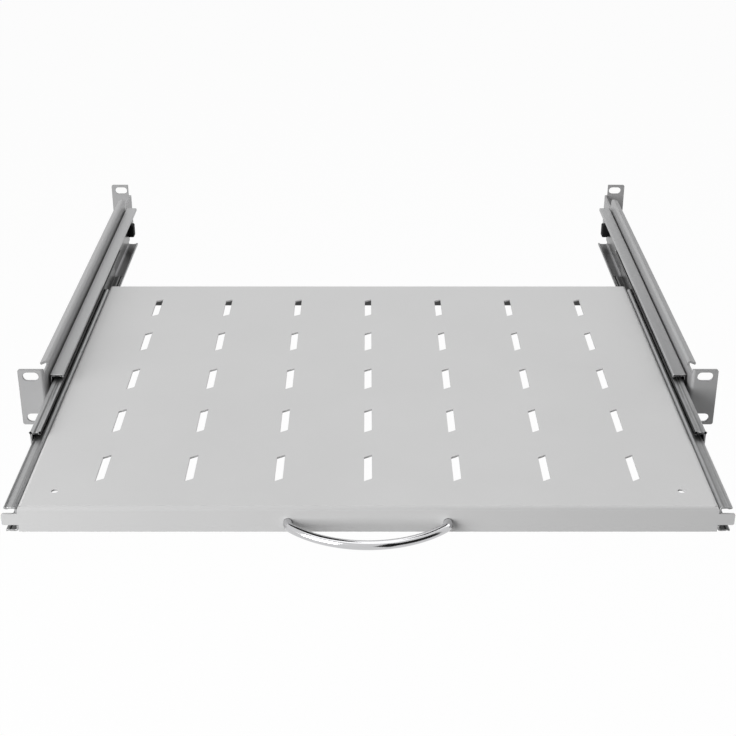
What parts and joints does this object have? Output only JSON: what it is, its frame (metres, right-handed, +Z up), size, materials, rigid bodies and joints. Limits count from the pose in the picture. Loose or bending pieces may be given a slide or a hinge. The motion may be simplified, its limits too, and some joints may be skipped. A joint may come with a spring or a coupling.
{
  "type": "sliding rack shelf",
  "caption": "Slotted sheet-steel rack shelf that pulls out on nested ball-bearing slides between two eared side brackets, with a bow handle on its front lip.",
  "frame": {"origin": "centre of the front ears' slot pattern, on the ears' front face", "axes": "+X to the right seen from the front, +Y into the rack along the slides, +Z up"},
  "size_m": [0.4826, 0.5819, 0.043],
  "materials": {
    "tray_paint": "light grey powder coat, fine grain, satin",
    "bracket_paint": "light grey powder coat, fine grain, satin",
    "rail_zinc": "bright zinc plate with fine rolling lines along its length",
    "cage_zinc": "zinc-plated strip, dull",
    "ball_steel": "polished",
    "handle_chrome": "bright chrome plate",
    "bumper_plastic": "moulded black plastic",
    "fastener_steel": "zinc plate"
  },
  "bodies": {
    "frame": {"left_side_bracket": "bracket_paint", "left_outer_rail": "rail_zinc", "left_rear_bumper": "bumper_plastic", "right_side_bracket": "bracket_paint", "right_outer_rail": "rail_zinc", "right_rear_bumper": "bumper_plastic"},
    "tray": {"tray_pan": "tray_paint", "pull_handle": "handle_chrome", "handle_screws": "fastener_steel", "left_inner_rail": "rail_zinc", "left_tray_screws": "fastener_steel", "right_inner_rail": "rail_zinc", "right_tray_screws": "fastener_steel"},
    "left_mid": {"left_mid_rail": "rail_zinc"},
    "left_outer_cage": {"left_outer_ball_cage": "cage_zinc", "left_outer_balls": "ball_steel"},
    "left_inner_cage": {"left_inner_ball_cage": "cage_zinc", "left_inner_balls": "ball_steel"},
    "right_mid": {"right_mid_rail": "rail_zinc"},
    "right_outer_cage": {"right_outer_ball_cage": "cage_zinc", "right_outer_balls": "ball_steel"},
    "right_inner_cage": {"right_inner_ball_cage": "cage_zinc", "right_inner_balls": "ball_steel"}
  },
  "joints": [
    {"name": "tray_slide", "type": "slide", "parent": "frame", "child": "tray", "axis": [0, -1, 0], "range_m": [-0.164, 0.187]},
    {"name": "left_mid_slide", "type": "slide", "parent": "frame", "child": "left_mid", "axis": [0, -1, 0], "range_m": [-0.0822, 0.0937]},
    {"name": "left_outer_cage_slide", "type": "slide", "parent": "frame", "child": "left_outer_cage", "axis": [0, -1, 0], "range_m": [-0.0412, 0.04695]},
    {"name": "left_inner_cage_slide", "type": "slide", "parent": "frame", "child": "left_inner_cage", "axis": [0, -1, 0], "range_m": [-0.1232, 0.14045]},
    {"name": "right_mid_slide", "type": "slide", "parent": "frame", "child": "right_mid", "axis": [0, -1, 0], "range_m": [-0.0822, 0.0937]},
    {"name": "right_outer_cage_slide", "type": "slide", "parent": "frame", "child": "right_outer_cage", "axis": [0, -1, 0], "range_m": [-0.0412, 0.04695]},
    {"name": "right_inner_cage_slide", "type": "slide", "parent": "frame", "child": "right_inner_cage", "axis": [0, -1, 0], "range_m": [-0.1232, 0.14045]}
  ],
  "couplings": [
    {"joint": "left_mid_slide", "follows": "tray_slide", "ratio": 0.5},
    {"joint": "left_outer_cage_slide", "follows": "tray_slide", "ratio": 0.25},
    {"joint": "left_inner_cage_slide", "follows": "tray_slide", "ratio": 0.75},
    {"joint": "right_mid_slide", "follows": "tray_slide", "ratio": 0.5},
    {"joint": "right_outer_cage_slide", "follows": "tray_slide", "ratio": 0.25},
    {"joint": "right_inner_cage_slide", "follows": "tray_slide", "ratio": 0.75}
  ]
}
